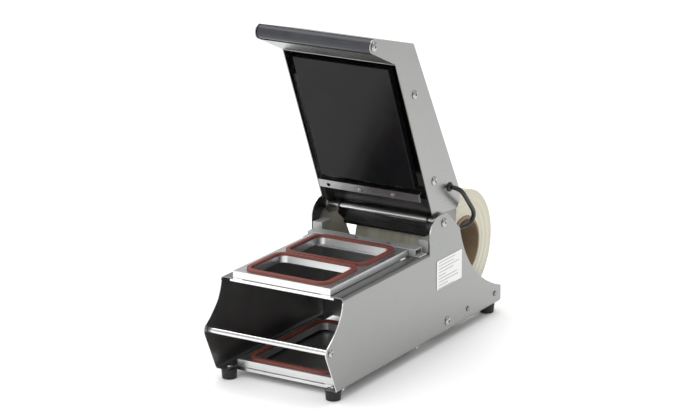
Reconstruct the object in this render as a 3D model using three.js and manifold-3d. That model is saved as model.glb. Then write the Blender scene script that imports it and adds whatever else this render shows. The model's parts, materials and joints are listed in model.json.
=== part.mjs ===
// Bench-top tray sealer: an open-fronted steel base that carries a lift-out tray die, a spare die
// below it and a roll of film behind, with a wedge-shaped heated lid that swings on a cross rod.
// Millimetres, +Z up, the operator stands at -Y. Every piece is drawn with Y = 0 at the front
// edge of the deck; the last lines move the whole machine so that its middle is at the origin.
import * as THREE from "three";
import { mergeVertices } from "three/addons/utils/BufferGeometryUtils.js";
import Module from "manifold-3d";

const wasm = await Module();
wasm.setup();

// ---- driving dimensions -------------------------------------------------------------------
const baseWidth = 200;
const sheet = 1.5;
const gap = 0.3;
const footHeight = 14.5;
const footRadius = 11.5;
const floorClear = footHeight + gap;
const deckTop = 146.9;
const tailTop = 41;
const bendRadius = 5;

const dieHalfWidth = baseWidth / 2 - 20.5;
const dieLength = 209.9;
const dieThickness = 10;
const dieFront = -0.4;
const dieRear = dieFront + dieLength;
const lowerDieFront = dieFront + 8.9;
const gasketHalfWidth = dieHalfWidth - 11;
const gasketWidth = 6;
const gasketHeight = 4.6;
const gasketGroove = 1.2;
const gasketCorner = 19;
const gasketEnd = 5.2;
const gasketBetween = 3;
const cavityLand = 1;

const frontBarY = -33.6;
const frontBarZ = 77.8;
const frontBarRadius = 4;
const bulgeRadius = 11.7;

const earFront = dieRear + 28.5;
const deckRear = dieRear + 52.5;
const flangeInner = dieHalfWidth + 1;
const panDepth = 4.9;
const hingeY = dieRear + 68.9;
const hingeZ = deckTop + 36.3;
const earTop = hingeZ + 13.6;
const hingeRodRadius = 4.5;
const runningGap = 0.4;
const openAngle = THREE.MathUtils.degToRad(68);

const railHeight = 5.8;
const railDepth = 6;
const railPadInner = gasketHalfWidth - 4.5;
const railRelief = 1.2;

const rollRadius = 85;
const rollHalfWidth = gasketHalfWidth + 0.5;
const coreOuter = 45;
const coreInner = 41;
const coreProud = 2;
const rollerRadius = 5.5;
const rollerFrontY = hingeY + 1.2 * rollRadius - 28.2;
const rollerRearY = rollerFrontY + 83.5;
const rollerZ = 32;
const tailRear = rollerRearY + 18.3;

const lidHalfWidth = baseWidth / 2 - 7.2;
const armThickness = 2.3;
const armReach = 52;
const handleRadius = 9.5;
const handleY = -hingeY - 65.1;
const handleZ = -61.5;
const plateHalfWidth = dieHalfWidth - 1.5;
const plateThickness = 12;
const plateFront = dieFront - hingeY + 2.4;
const plateRear = dieRear - hingeY - 1.7;
const plateFace = -21.4;
const clampHalfLength = dieHalfWidth + 4.5;
const clampFace = -24;

const cableRadius = 3.3;

// ---- finishes -----------------------------------------------------------------------------
const steel = new THREE.MeshStandardMaterial({ color: 0xaeb0ac, roughness: 0.38, metalness: 1 });
const brightSteel = new THREE.MeshStandardMaterial({ color: 0xd8d9d8, roughness: 0.16, metalness: 1 });
const darkSteel = new THREE.MeshStandardMaterial({ color: 0x6a6b6c, roughness: 0.4, metalness: 1 });
const aluminium = new THREE.MeshStandardMaterial({ color: 0xc9ccca, roughness: 0.34, metalness: 1 });
const coating = new THREE.MeshStandardMaterial({ color: 0x17181a, roughness: 0.28, metalness: 0.1 });
const silicone = new THREE.MeshStandardMaterial({ color: 0x7d443c, roughness: 0.6, metalness: 0 });
const handlePlastic = new THREE.MeshStandardMaterial({ color: 0x3a3c46, roughness: 0.42, metalness: 0 });
const blackRubber = new THREE.MeshStandardMaterial({ color: 0x0d0d0d, roughness: 0.75, metalness: 0 });
const blackPlastic = new THREE.MeshStandardMaterial({ color: 0x151515, roughness: 0.5, metalness: 0 });
const film = new THREE.MeshStandardMaterial({ color: 0xd8d2b4, roughness: 0.3, metalness: 0 });
const cardboard = new THREE.MeshStandardMaterial({ color: 0x8a7860, roughness: 0.85, metalness: 0 });
const whiteVinyl = new THREE.MeshStandardMaterial({ color: 0xe9e9e7, roughness: 0.5, metalness: 0 });
const redPlastic = new THREE.MeshStandardMaterial({ color: 0xa01c16, roughness: 0.35, metalness: 0 });

// ---- outlines -----------------------------------------------------------------------------
function arc(centreA, centreB, radius, startDegrees, endDegrees, steps) {
  return Array.from({ length: steps + 1 }, (_, i) => {
    const angle = THREE.MathUtils.degToRad(startDegrees + ((endDegrees - startDegrees) * i) / steps);
    return [centreA + radius * Math.cos(angle), centreB + radius * Math.sin(angle)];
  });
}

function circle(centreA, centreB, radius, sides) {
  return arc(centreA, centreB, radius, 0, 360, sides).slice(0, -1);
}

function bezier(start, control, end, steps) {
  const curve = new THREE.QuadraticBezierCurve(
    new THREE.Vector2(...start),
    new THREE.Vector2(...control),
    new THREE.Vector2(...end),
  );
  return curve.getPoints(steps).map((point) => [point.x, point.y]);
}

// A closed outline whose corners, given as [a, b, radius], are rounded.
function rounded(corners, steps = 5) {
  const count = corners.length;
  return corners.flatMap(([a, b, radius = 0], i) => {
    if (radius === 0) return [[a, b]];
    const corner = new THREE.Vector2(a, b);
    const before = new THREE.Vector2(...corners[(i + count - 1) % count].slice(0, 2)).sub(corner);
    const after = new THREE.Vector2(...corners[(i + 1) % count].slice(0, 2)).sub(corner);
    before.normalize();
    after.normalize();
    const halfAngle = Math.acos(THREE.MathUtils.clamp(before.dot(after), -1, 1)) / 2;
    const reach = radius / Math.tan(halfAngle);
    const start = corner.clone().addScaledVector(before, reach);
    const end = corner.clone().addScaledVector(after, reach);
    const middle = before.clone().add(after).normalize();
    const centre = corner.clone().addScaledVector(middle, radius / Math.sin(halfAngle));
    const from = Math.atan2(start.y - centre.y, start.x - centre.x);
    let sweep = Math.atan2(end.y - centre.y, end.x - centre.x) - from;
    if (sweep > Math.PI) sweep -= 2 * Math.PI;
    if (sweep < -Math.PI) sweep += 2 * Math.PI;
    return Array.from({ length: steps + 1 }, (_, k) => {
      const angle = from + (sweep * k) / steps;
      return [centre.x + radius * Math.cos(angle), centre.y + radius * Math.sin(angle)];
    });
  });
}

function rectangle(a0, a1, b0, b1, radius = 0, steps = 5) {
  return rounded([[a0, b0, radius], [a1, b0, radius], [a1, b1, radius], [a0, b1, radius]], steps);
}

// The outline of a folded sheet: a line of [a, b] points thickened to its left.
function folded(line, thickness) {
  const points = line.map(([a, b]) => new THREE.Vector2(a, b));
  const leftOf = (from, to) => {
    const along = to.clone().sub(from).normalize();
    return new THREE.Vector2(-along.y, along.x);
  };
  const other = points.map((point, i) => {
    const normals = [];
    if (i > 0) normals.push(leftOf(points[i - 1], point));
    if (i < points.length - 1) normals.push(leftOf(point, points[i + 1]));
    const mean = normals.reduce((sum, normal) => sum.add(normal), new THREE.Vector2()).normalize();
    return point.clone().addScaledVector(mean, thickness / mean.dot(normals[0]));
  });
  return [...line, ...other.reverse().map((point) => [point.x, point.y])];
}

// ---- solids -------------------------------------------------------------------------------
function solid(geometry) {
  const bare = geometry.clone();
  bare.deleteAttribute("normal");
  bare.deleteAttribute("uv");
  const merged = mergeVertices(bare, 1e-4);
  const mesh = new wasm.Mesh({
    numProp: 3,
    vertProperties: merged.attributes.position.array,
    triVerts: new Uint32Array(merged.index.array),
  });
  return new wasm.Manifold(mesh);
}

function extruded(outline, depth, basis, holes) {
  const shape = new THREE.Shape(outline.map(([a, b]) => new THREE.Vector2(a, b)));
  for (const hole of holes) {
    shape.holes.push(new THREE.Path(hole.map(([a, b]) => new THREE.Vector2(a, b))));
  }
  const geometry = new THREE.ExtrudeGeometry(shape, { depth, bevelEnabled: false });
  return geometry.applyMatrix4(new THREE.Matrix4().makeBasis(...basis));
}

const alongX = new THREE.Vector3(1, 0, 0);
const alongY = new THREE.Vector3(0, 1, 0);
const alongZ = new THREE.Vector3(0, 0, 1);
const backY = new THREE.Vector3(0, -1, 0);

// Prisms: prismX takes a (y, z) outline, prismY an (x, z) one and prismZ an (x, y) one.
function prismX(outline, x0, x1, holes = []) {
  return solid(extruded(outline, x1 - x0, [alongY, alongZ, alongX], holes).translate(x0, 0, 0));
}

function prismY(outline, y0, y1, holes = []) {
  return solid(extruded(outline, y1 - y0, [alongX, alongZ, backY], holes).translate(0, y1, 0));
}

function prismZ(outline, z0, z1, holes = []) {
  return solid(extruded(outline, z1 - z0, [alongX, alongY, alongZ], holes).translate(0, 0, z0));
}

function block(x0, x1, y0, y1, z0, z1) {
  const geometry = new THREE.BoxGeometry(x1 - x0, y1 - y0, z1 - z0);
  return solid(geometry.translate((x0 + x1) / 2, (y0 + y1) / 2, (z0 + z1) / 2));
}

function barX(y, z, radius, x0, x1, sides = 20) {
  return prismX(circle(y, z, radius, sides), x0, x1);
}

function barZ(x, y, radius, z0, z1, sides = 20) {
  return prismZ(circle(x, y, radius, sides), z0, z1);
}

// A turned piece: its profile is [radius, height] from the axis at the bottom to the axis at the top.
function turned(profile, sides = 20) {
  return new THREE.LatheGeometry(profile.map(([r, h]) => new THREE.Vector2(r, h)), sides);
}

// A turned piece whose height runs away from the middle of the machine, to the given side.
function turnedX(profile, side, x, y, z, sides = 14) {
  const geometry = turned(profile, sides).rotateZ((-side * Math.PI) / 2);
  return solid(geometry.translate(side * x, y, z));
}

function turnedZ(profile, x, y, z, sides = 20) {
  return solid(turned(profile, sides).rotateX(Math.PI / 2).translate(x, y, z));
}

// A domed screw: shank below height 0, head above it.
function domedScrew(headRadius, headHeight, shankRadius, shankLength) {
  const dome = arc(0, 0, 1, 22, 90, 3).map(([a, b]) => [headRadius * a, headHeight * b]);
  return [[0, -shankLength], [shankRadius, -shankLength], [shankRadius, 0], [headRadius, 0], ...dome];
}

const machine = new THREE.Group();
const hinge = new THREE.Group();
const lid = new THREE.Group();

function place(name, shape, material, parent = machine) {
  const { vertProperties, triVerts } = shape.getMesh();
  const geometry = new THREE.BufferGeometry();
  geometry.setAttribute("position", new THREE.BufferAttribute(vertProperties, 3));
  geometry.setIndex(new THREE.BufferAttribute(triVerts, 1));
  geometry.computeVertexNormals();
  const mesh = new THREE.Mesh(geometry, material);
  mesh.name = name;
  parent.add(mesh);
}

const sides = { left: -1, right: 1 };
const baseOuter = baseWidth / 2;
const baseInner = baseOuter - sheet;
const barHalfLength = baseInner - gap;
const flangeTop = floorClear + sheet;
const deckUnder = deckTop - sheet;
const dieOpening = dieHalfWidth + 0.8;

// ---- base ---------------------------------------------------------------------------------
const footX = baseOuter - 14.5;
const footFrontY = -3.5;
const footRearY = tailRear - 16;
const footScrewRadius = 2;
const frontScrewRadius = 2.1;
const hingeScrewRadius = 2.5;
const tieY = hingeY + 12.4;
const tieZ = 30.5;
const tieRadius = 4;
const rollerStubRadius = 4;
const screwClear = 0.4;

function sidePlateOutline() {
  const bulgeStart = arc(frontBarY, frontBarZ, bulgeRadius, 123, 207, 8);
  const bulgeTop = bulgeStart[0];
  const slope = Math.tan(THREE.MathUtils.degToRad(123 - 90));
  const controlZ = bulgeTop[1] + Math.abs(bulgeTop[0]) * slope;
  const front = bezier([0, deckTop], [0, controlZ], bulgeTop, 10).slice(0, -1);
  const foot = rounded([[-42, 70], [-16.3, floorClear, 4], [60, floorClear]]).slice(1, -1);
  const tail = rounded(
    [[300, floorClear], [tailRear, floorClear, 5], [tailRear, tailTop, 1.5], [360, tailTop + 32]],
    4,
  ).slice(1, -1);
  const earBack = [hingeY + 48.6, hingeZ - 25.2];
  const back = bezier([tailRear - 3, tailTop + 0.6], [hingeY + 73.6, tailTop + 35], earBack, 12);
  const ear = rounded([
    [earBack[0] + 4, earBack[1] - 12],
    [hingeY + 47.6, hingeZ - 20.2, 4],
    [hingeY + 8.1, earTop, 22],
    [earFront, earTop, 27],
    [earFront, deckTop - 20],
  ]).slice(1, -1);
  return [...front, ...bulgeStart, ...foot, ...tail, ...back, ...ear, [earFront, deckTop]];
}

function baseShell() {
  const outline = sidePlateOutline();
  const skin = prismX(outline, -baseOuter, baseOuter);
  const outer = rectangle(-baseOuter, baseOuter, floorClear, deckTop, bendRadius);
  const inner = rectangle(-baseInner, baseInner, flangeTop, deckUnder, bendRadius - sheet);
  const length = [frontBarY - 2 * bulgeRadius, tailRear + 1];
  let shell = prismY(outer, ...length).subtract(prismY(inner, length[0] - 1, length[1] + 1));
  shell = shell.intersect(skin);
  for (const side of Object.values(sides)) {
    const x = [side * baseInner, side * baseOuter].sort((a, b) => a - b);
    const plate = prismX(outline, ...x);
    const ear = block(...x, earFront, tailRear + 1, deckTop - 3 * bendRadius, earTop + 1);
    shell = shell.add(plate.intersect(ear));
  }
  const cuts = [
    block(-flangeInner, flangeInner, length[0], length[1], floorClear - 1, flangeTop + 1),
    block(-baseInner, baseInner, deckRear, length[1], deckUnder - bendRadius, deckTop + 1),
    block(-dieOpening, dieOpening, -2, dieRear + 0.8, deckUnder - 1, deckTop + 1),
  ];
  const through = [-baseOuter - 1, baseOuter + 1];
  cuts.push(barX(frontBarY, frontBarZ, frontScrewRadius + screwClear, ...through, 12));
  cuts.push(barX(hingeY, hingeZ, hingeScrewRadius + screwClear, ...through, 12));
  cuts.push(barX(tieY, tieZ, hingeScrewRadius + screwClear, ...through, 12));
  for (const y of [rollerFrontY, rollerRearY]) {
    cuts.push(barX(y, rollerZ, rollerStubRadius + screwClear, ...through, 16));
  }
  for (const x of [-footX, footX]) {
    for (const y of [footFrontY, footRearY]) {
      cuts.push(barZ(x, y, footScrewRadius + screwClear, floorClear - 1, flangeTop + 1, 12));
    }
  }
  for (const cut of cuts) shell = shell.subtract(cut);
  const partitionHalf = baseInner - bendRadius + 1;
  const partition = [deckRear - sheet, deckRear, flangeTop + 1, deckTop - sheet / 2];
  shell = shell.add(block(-partitionHalf, partitionHalf, ...partition)).add(floorPan());
  const tabFront = dieRear - 15;
  for (const side of Object.values(sides)) {
    const x = [side * (baseInner - 9.5), side * (baseInner - 5.5)].sort((a, b) => a - b);
    shell = shell.add(block(...x, tabFront, tabFront + 13, deckUnder + 0.5, deckTop + 1.4));
  }
  return shell;
}

// The shallow floor between the two store rails, hung from the flanges under the spare die.
function floorPan() {
  const wall = flangeInner + sheet;
  const under = floorClear - panDepth;
  const rim = floorClear + sheet / 2;
  const section = folded([[-wall, rim], [-wall, under], [wall, under], [wall, rim]], sheet);
  const front = lowerDieFront + railDepth + 1;
  return prismY(section, front, lowerDieFront + dieLength - railDepth - 1);
}

// A bar across the machine with a threaded hole in each end.
function threadedBar(y, z, radius, halfLength, holeRadius, holeDepth, sideCount = 24) {
  let bar = barX(y, z, radius, -halfLength, halfLength, sideCount);
  bar = bar.subtract(barX(y, z, holeRadius, halfLength - holeDepth, halfLength + 1, 12));
  return bar.subtract(barX(y, z, holeRadius, -halfLength - 1, holeDepth - halfLength, 12));
}

function addBase() {
  place("base_shell", baseShell(), steel);
  const threadDepth = 14;
  const bars = {
    front_bar: [frontBarY, frontBarZ, frontBarRadius, frontScrewRadius, brightSteel],
    hinge_rod: [hingeY, hingeZ, hingeRodRadius, hingeScrewRadius, brightSteel],
    tie_bar: [tieY, tieZ, tieRadius, hingeScrewRadius, steel],
  };
  const heads = { front_bar: [5.6, 2.4], hinge_rod: [6.6, 2.8], tie_bar: [6.6, 2.8] };
  const screwNames = { front_bar: "front_bar_screw", hinge_rod: "hinge_screw", tie_bar: "tie_screw" };
  for (const [name, [y, z, radius, screwRadius, finish]] of Object.entries(bars)) {
    place(name, threadedBar(y, z, radius, barHalfLength, screwRadius + screwClear, threadDepth), finish);
    for (const [word, side] of Object.entries(sides)) {
      const profile = domedScrew(...heads[name], screwRadius, threadDepth - 2);
      const screw = turnedX(profile, side, baseOuter + gap, y, z);
      place(`${screwNames[name]}_${word}`, screw, brightSteel);
    }
  }
  const footProfile = [
    [0, 0], [footRadius - 2, 0], [footRadius - 1, 1], [footRadius, footHeight], [0, footHeight],
  ];
  const footScrew = [
    [0, -11], [footScrewRadius, -11], [footScrewRadius, 0], [4.2, 0], [4.2, 1], [3.2, 2.3], [0, 2.7],
  ];
  for (const [word, side] of Object.entries(sides)) {
    for (const [end, y] of Object.entries({ front: footFrontY, rear: footRearY })) {
      const x = side * footX;
      const hole = barZ(x, y, footScrewRadius + screwClear, 4, footHeight + 1, 12);
      place(`foot_${end}_${word}`, turnedZ(footProfile, x, y, 0, 28).subtract(hole), blackRubber);
      place(`foot_screw_${end}_${word}`, turnedZ(footScrew, x, y, flangeTop + gap, 16), brightSteel);
    }
  }
}

// ---- die rails: cross bars that the upper die and the spare die rest on ----------------------
function dieRail(dieUnder, front, halfLength, endTop) {
  const top = dieUnder - gap;
  const low = top - railHeight + 0.3;
  const outline = [
    [-halfLength, low], [halfLength, low], [halfLength, endTop], [dieHalfWidth, endTop],
    [dieHalfWidth, top], [railPadInner, top], [railPadInner, top - railRelief + gap],
    [-railPadInner, top - railRelief + gap], [-railPadInner, top], [-dieHalfWidth, top],
    [-dieHalfWidth, endTop], [-halfLength, endTop],
  ];
  return prismY(outline, front, front + railDepth);
}

const upperDieUnder = deckTop + 0.9;
const lowerDieUnder = flangeTop - 1.1;

function addDieRails() {
  const upper = [upperDieUnder, dieHalfWidth + 5, deckUnder - gap];
  const lower = [lowerDieUnder, baseInner - 6, floorClear - gap];
  const lowerRear = lowerDieFront + dieLength - railDepth;
  const rails = {
    front_die_rail: [upper, dieFront],
    rear_die_rail: [upper, dieRear - railDepth],
    front_store_rail: [lower, lowerDieFront],
    rear_store_rail: [lower, lowerRear],
  };
  for (const [name, [[under, halfLength, endTop], front]] of Object.entries(rails)) {
    place(name, dieRail(under, front, halfLength, endTop), aluminium);
  }
}

// ---- dies ---------------------------------------------------------------------------------
// Each tray seat is [front, rear] of its gasket's outer edge.
function gasketRing([front, rear], grow = 0) {
  const outer = gasketHalfWidth + grow;
  const inner = gasketHalfWidth - gasketWidth - grow;
  const step = gasketWidth + grow;
  return {
    outer: rectangle(-outer, outer, front - grow, rear + grow, gasketCorner + grow, 7),
    inner: rectangle(-inner, inner, front + step, rear - step, gasketCorner - gasketWidth - grow, 7),
  };
}

function die(seats, front, under) {
  const top = under + dieThickness;
  let plate = block(-dieHalfWidth, dieHalfWidth, front, front + dieLength, under, top);
  const inset = gasketWidth + cavityLand;
  for (const seat of seats) {
    const half = gasketHalfWidth - inset;
    const mouth = rectangle(-half, half, seat[0] + inset, seat[1] - inset, gasketCorner - inset, 7);
    const ring = gasketRing(seat, gap);
    plate = plate.subtract(prismZ(mouth, under - 1, top + 1));
    plate = plate.subtract(prismZ(ring.outer, top - gasketGroove, top + 1, [ring.inner]));
  }
  return plate;
}

function gasket(seat, dieUnder) {
  const under = dieUnder + dieThickness - gasketGroove + gap;
  const ring = gasketRing(seat);
  return prismZ(ring.outer, under, under + gasketHeight, [ring.inner]);
}

function addDies() {
  const seatLength = (dieLength - 2 * gasketEnd - gasketBetween) / 2;
  const first = [dieFront + gasketEnd, dieFront + gasketEnd + seatLength];
  const second = [first[1] + gasketBetween, first[1] + gasketBetween + seatLength];
  const spare = [lowerDieFront + gasketEnd, lowerDieFront + dieLength - gasketEnd];
  place("upper_die", die([first, second], dieFront, upperDieUnder), aluminium);
  place("upper_gasket_front", gasket(first, upperDieUnder), silicone);
  place("upper_gasket_rear", gasket(second, upperDieUnder), silicone);
  place("spare_die", die([spare], lowerDieFront, lowerDieUnder), aluminium);
  place("spare_gasket", gasket(spare, lowerDieUnder), silicone);
}

// ---- film path ----------------------------------------------------------------------------
function filmBar() {
  const front = dieRear + 2.5;
  const rear = front + 21;
  const under = deckTop + gap;
  const top = hingeZ + clampFace - 0.9;
  const outer = rounded([[front, under], [rear, under], [rear, top, 1], [front, top, 1]], 2);
  const inner = rounded([[front + 2, under + 2], [rear - 2, under + 2], [rear - 2, top - 2], [front + 2, top - 2]]);
  const half = dieHalfWidth + 10.5;
  let bar = prismX(outer, -half, half, [inner]);
  bar = bar.add(block(1 - baseInner, baseInner - 1, front, rear, under, under + 2));
  for (const x of clampScrewX) {
    bar = bar.subtract(barZ(x, hingeY + clampScrewY, 4.2, top - 3, top + 1, 16));
  }
  return bar;
}

const sideRailHeight = 18.6;

function sideRail(side) {
  const under = deckTop + gap;
  const x = [side * (baseInner - 1.5), side * (baseInner - 17.5)].sort((a, b) => a - b);
  const outline = rectangle(x[0], x[1], under, under + sideRailHeight, 1.6, 3);
  return prismY(outline, earFront, deckRear + 2);
}

function filmGuide() {
  const half = rollHalfWidth + 6;
  const plateY = hingeY + 10;
  const top = hingeZ - 7;
  const foot = hingeZ - 27;
  const lip = arc(plateY + 4, foot, 4, 180, 300, 6);
  const blade = prismX(folded([[plateY, top], ...lip], sheet), -half, half);
  const eye = rounded([
    [hingeY - 7, hingeZ + 7, 6.9], [hingeY - 7, hingeZ - 10, 5], [plateY + 1, foot + 3],
    [plateY + 1, top], [hingeY + 7, hingeZ - 1], [hingeY + 7, hingeZ + 7, 6.9],
  ]);
  let guide = blade;
  for (const x of [-half, half - sheet]) {
    guide = guide.add(prismX(eye, x, x + sheet));
  }
  return guide.subtract(barX(hingeY, hingeZ, hingeRodRadius + runningGap, -half - 1, half + 1, 24));
}

function supportRoller(y) {
  const stub = barX(y, rollerZ, rollerStubRadius, -baseOuter - 1.4, baseOuter + 1.4, 16);
  return barX(y, rollerZ, rollerRadius, -baseInner + 2, baseInner - 2, 20).add(stub);
}

function ringX(y, z, outer, inner, x0, x1, sideCount) {
  return prismX(circle(y, z, outer, sideCount), x0, x1, [circle(y, z, inner, sideCount)]);
}

const rollY = (rollerFrontY + rollerRearY) / 2;
const rollReach = rollRadius + rollerRadius + gap;
const rollZ = rollerZ + Math.sqrt(rollReach ** 2 - ((rollerRearY - rollerFrontY) / 2) ** 2);

function addFilmPath() {
  place("film_bar", filmBar(), aluminium);
  for (const [word, side] of Object.entries(sides)) {
    place(`side_rail_${word}`, sideRail(side), aluminium);
  }
  place("film_guide", filmGuide(), darkSteel);
  place("support_roller_front", supportRoller(rollerFrontY), steel);
  place("support_roller_rear", supportRoller(rollerRearY), steel);
  const coreHalf = rollHalfWidth + coreProud;
  const wound = ringX(rollY, rollZ, rollRadius, coreOuter + gap, -rollHalfWidth, rollHalfWidth, 72);
  place("film_roll", wound, film);
  place("film_core", ringX(rollY, rollZ, coreOuter, coreInner, -coreHalf, coreHalf, 48), cardboard);
}

// ---- wiring -------------------------------------------------------------------------------
const boxInnerX = rollHalfWidth + 5;
const boxTop = deckTop - 8.9;
const boxFront = hingeY - 10.4;
const boxRear = hingeY + 61.6;
const cableEntryX = baseOuter - 14;
const cableEntryY = hingeY + 45.6;
const glandHeight = 3.2;
const glandY = -31.4;
const glandZ = 43.3;

function addWiring() {
  const box = prismX(rectangle(boxFront, boxRear, 62, boxTop, 4), boxInnerX, barHalfLength);
  place("junction_box", box, blackPlastic);
  const flat = [[0, 0], [9, 0], [9, 5], [7, 6.5], [7, 11], [4.6, 14], [0, 14]];
  const mainsGland = solid(turned(flat, 16).translate(cableEntryX, boxRear + gap, 100));
  place("mains_gland", mainsGland, blackPlastic);
  const grommet = [[0, 0], [6.5, 0], [6.5, 2], [4.6, 4], [0, 4]];
  place("cable_grommet", turnedZ(grommet, cableEntryX, cableEntryY, boxTop + gap, 16), blackRubber);
  const label = rectangle(hingeY - 21, hingeY + 53, 86, 130, 1.5, 3);
  place("rating_label", prismX(label, baseOuter + gap, baseOuter + gap + 0.3), whiteVinyl);
  const glandOpen = new THREE.Vector3(0, glandY, glandZ).applyAxisAngle(alongX, -openAngle);
  glandOpen.add(new THREE.Vector3(0, hingeY, hingeZ));
  const glandEnd = lidHalfWidth + gap + glandHeight;
  // Route of the link cable from the lid's gland to the grommet, out past the ear and back in.
  const route = [
    [glandEnd + 1, glandOpen.y, glandOpen.z],
    [103, 307.9, 227.5],
    [107.9, 311.6, 224.1],
    [109.4, 317.5, 218.6],
    [108.8, 325.5, 211.2],
    [107.2, 336.5, 201.5],
    [105.3, 348.5, 191],
    [103.2, 359, 181.5],
    [101.2, 363.8, 171.5],
    [98.4, 360.5, 162.8],
    [95, 351.5, 159],
    [90.8, 337.5, 158],
    [87.4, 327.9, 154.2],
    [cableEntryX, cableEntryY, 145.5],
    [cableEntryX, cableEntryY, boxTop + 2 * gap + 4.2],
  ];
  const path = new THREE.CatmullRomCurve3(route.map((point) => new THREE.Vector3(...point)));
  const section = new THREE.Shape(circle(0, 0, cableRadius, 8).map(([a, b]) => new THREE.Vector2(a, b)));
  const tube = new THREE.ExtrudeGeometry(section, { steps: 24, extrudePath: path });
  place("link_cable", solid(tube), blackRubber);
}

// ---- lid: drawn closed, with Y and Z measured from the hinge axis ----------------------------
const noseRadius = handleRadius + 1;
const rimRear = [-21, -14.5];
const rimFront = [-hingeY - 7.6, -20.5];
const crownFront = [-hingeY - 9, 32.1];
const crownRear = [-9.5, 67.3];
const lidScrewRadius = 2.1;
const lidScrews = [[60.8 - hingeY, 7.6], [-67.2, 8.4]];
const lidInner = lidHalfWidth - sheet;
const armOuter = lidInner - gap;
const armInner = armOuter - armThickness;
const carrierHalf = armInner - gap;

function lidOutline() {
  const nose = arc(handleY, handleZ, noseRadius, 132, 325, 12);
  return rounded([
    [...rimRear],
    [11.6, 49.7, 2],
    [4.3, 62.1, 4],
    [...crownRear, 6],
    [...crownFront, 3],
    ...nose,
    [...rimFront],
  ], 3);
}

function lidShell() {
  const outer = prismX(lidOutline(), -lidHalfWidth, lidHalfWidth);
  const crownSlope = (crownRear[1] - crownFront[1]) / (crownRear[0] - crownFront[0]);
  const front = [crownFront[0] + 1.2 * sheet, crownFront[1] - sheet];
  const rear = [crownRear[0] - 1, crownFront[1] + (crownRear[0] - 1 - crownFront[0]) * crownSlope - sheet];
  const hollow = [
    [rimRear[0] + 8, rimRear[1] - 12],
    [11.6 - sheet, 47],
    [4.3 - sheet, 60.5],
    rear,
    front,
    [handleY + 15, handleZ + 15],
    [handleY + 19, handleZ + 5.5],
    [rimFront[0] + 0.8, rimFront[1] + sheet],
    [rimFront[0] + 0.8, rimFront[1] - 12],
  ];
  let shell = outer.subtract(prismX(hollow, -lidInner, lidInner));
  const grip = barX(handleY, handleZ, handleRadius + 3, -lidInner, lidInner, 24);
  shell = shell.subtract(grip);
  for (const x of [-lidInner, armInner - gap]) {
    shell = shell.subtract(barX(0, 0, armReach + 2 * gap, x, x + lidInner - armInner + gap, 48));
  }
  const through = [-lidHalfWidth - 1, lidHalfWidth + 1];
  for (const [y, z] of [...lidScrews, [handleY, handleZ]]) {
    shell = shell.subtract(barX(y, z, lidScrewRadius + screwClear, ...through, 12));
  }
  shell = shell.subtract(barX(glandY, glandZ, 4, lidInner - 1, lidHalfWidth + 1, 16));
  for (const [x, half] of [[knobX, 5], [rockerX, 7.5]]) {
    const y = knobY;
    shell = shell.subtract(block(x - half, x + half, y - half, y + half, crownFront[1] - 8, crownRear[1]));
  }
  return shell;
}

function hingeArm(side) {
  const armFront = 42.4 - hingeY;
  const boss = arc(0, 0, 13, 215, 345, 8);
  const heel = arc(0, 0, armReach, 45, 78, 6);
  const outline = [
    [armFront, -7], [-40, -9], ...boss, ...heel, [-40, 44], [armFront, 24],
  ];
  const x = [side * armInner, side * armOuter].sort((a, b) => a - b);
  let arm = prismX(outline, ...x);
  arm = arm.subtract(barX(0, 0, hingeRodRadius + runningGap, x[0] - 1, x[1] + 1, 24));
  for (const [y, z] of lidScrews) {
    arm = arm.subtract(barX(y, z, lidScrewRadius + screwClear, x[0] - 1, x[1] + 1, 12));
  }
  if (side > 0) arm = arm.subtract(barX(glandY, glandZ, 4, x[0] - 1, x[1] + 1, 16));
  return arm;
}

function plateCarrier() {
  const web = folded(
    [[plateFront - 4, 4], [-58, 4], [-46, -9], [-8, 6.2], [1.5, 10.3]], -sheet,
  );
  let carrier = prismX(web, -carrierHalf, carrierHalf);
  const postTop = 4 - sheet / 2;
  const postLow = plateFace + plateThickness + gap;
  for (const x of [-55, 55]) {
    for (const y of [plateFront + 30, plateRear - 26]) {
      carrier = carrier.add(barZ(x, y, 5, postLow, postTop, 12));
    }
  }
  for (const side of Object.values(sides)) {
    const x = [side * (carrierHalf - sheet), side * carrierHalf].sort((a, b) => a - b);
    let cheek = block(...x, plateFront + 6, -58, 3, 15);
    for (const [y, z] of lidScrews) {
      cheek = cheek.subtract(barX(y, z, lidScrewRadius + screwClear, x[0] - 1, x[1] + 1, 12));
    }
    carrier = carrier.add(cheek);
  }
  return carrier;
}

const clampFront = -63.5;
const clampDepth = 13.5;
const clampSheet = 2.5;
const clampTravel = 3;
const clampScrewX = [-14, 40];
const clampScrewY = clampFront + 8;

function clampBar() {
  const outline = [
    [clampFront, clampFace], [clampFront + clampDepth, clampFace],
    [clampFront + clampDepth, clampFace + clampSheet], [clampFront + clampSheet, clampFace + clampSheet],
    [clampFront + clampSheet, clampFace + 10], [clampFront, clampFace + 10],
  ];
  let bar = prismX(outline, -clampHalfLength, clampHalfLength);
  for (const x of clampScrewX) {
    bar = bar.subtract(barZ(x, clampScrewY, 2 + screwClear, clampFace - 1, clampFace + 4, 12));
  }
  return bar.subtract(barZ(16 - clampHalfLength, clampScrewY, 3, clampFace - 1, clampFace + 4, 16));
}

function clampScrew(x) {
  const head = clampFace - gap;
  const reach = 22.2;
  const profile = [[0, 0], [3.2, 0.2], [3.4, 1.6], [2, 1.6], [2, reach], [0, reach]];
  return turnedZ(profile, x, clampScrewY, head - 1.6, 16);
}

const knobX = 45;
const rockerX = -45;
const knobY = 43.4 - hingeY;
const crownTilt = Math.atan2(crownRear[1] - crownFront[1], crownRear[0] - crownFront[0]);
const crownAtKnob = crownFront[1] + (knobY - crownFront[0]) * Math.tan(crownTilt);

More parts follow.
